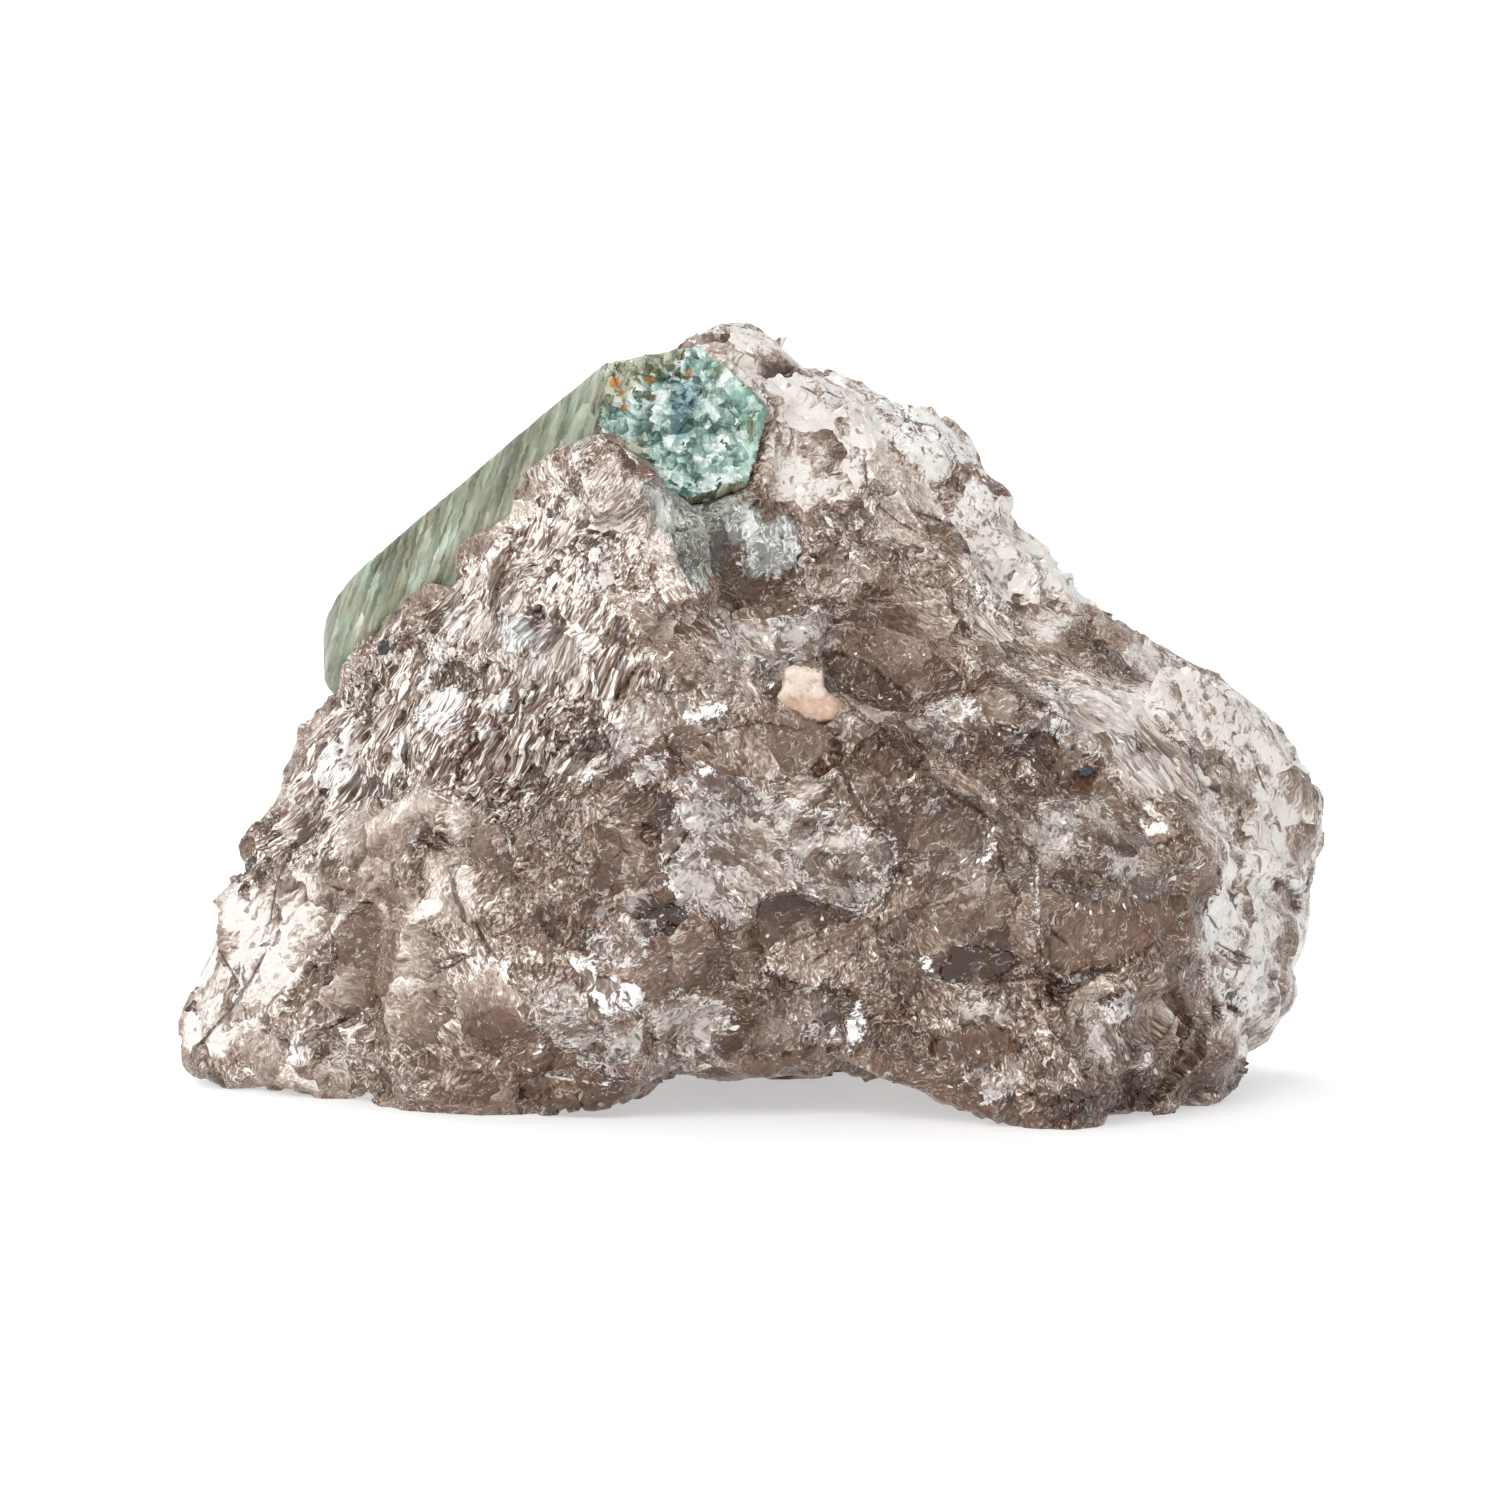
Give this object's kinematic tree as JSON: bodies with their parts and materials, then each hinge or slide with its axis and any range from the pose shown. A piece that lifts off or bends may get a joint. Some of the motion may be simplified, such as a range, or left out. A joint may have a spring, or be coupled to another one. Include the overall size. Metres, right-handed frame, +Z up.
{
  "type": "aquamarine in quartz",
  "caption": "Rough lump of broken smoky quartz with a six-sided green-blue beryl crystal lying in its upper left edge, standing on its broken feet.",
  "frame": {"origin": "under the middle of the whole specimen, on the surface that it rests on", "axes": "+X to the right along the longest extent, +Y away from the viewer of the picture, +Z up"},
  "size_m": [0.1214, 0.0766, 0.0804],
  "materials": {
    "smoky_quartz": "broken, glassy to frosted smoky quartz with white veils inside",
    "aquamarine": "sage green to pale teal beryl, satin on its prism faces and rough on its broken end",
    "feldspar": "peach, dull cleaved feldspar",
    "tourmaline": "black, glossy grains"
  },
  "bodies": {
    "root": {"quartz_matrix": "smoky_quartz", "aquamarine_crystal": "aquamarine", "feldspar_grain": "feldspar", "tourmaline_grain_right": "tourmaline", "tourmaline_grain_left": "tourmaline"}
  },
  "joints": []
}
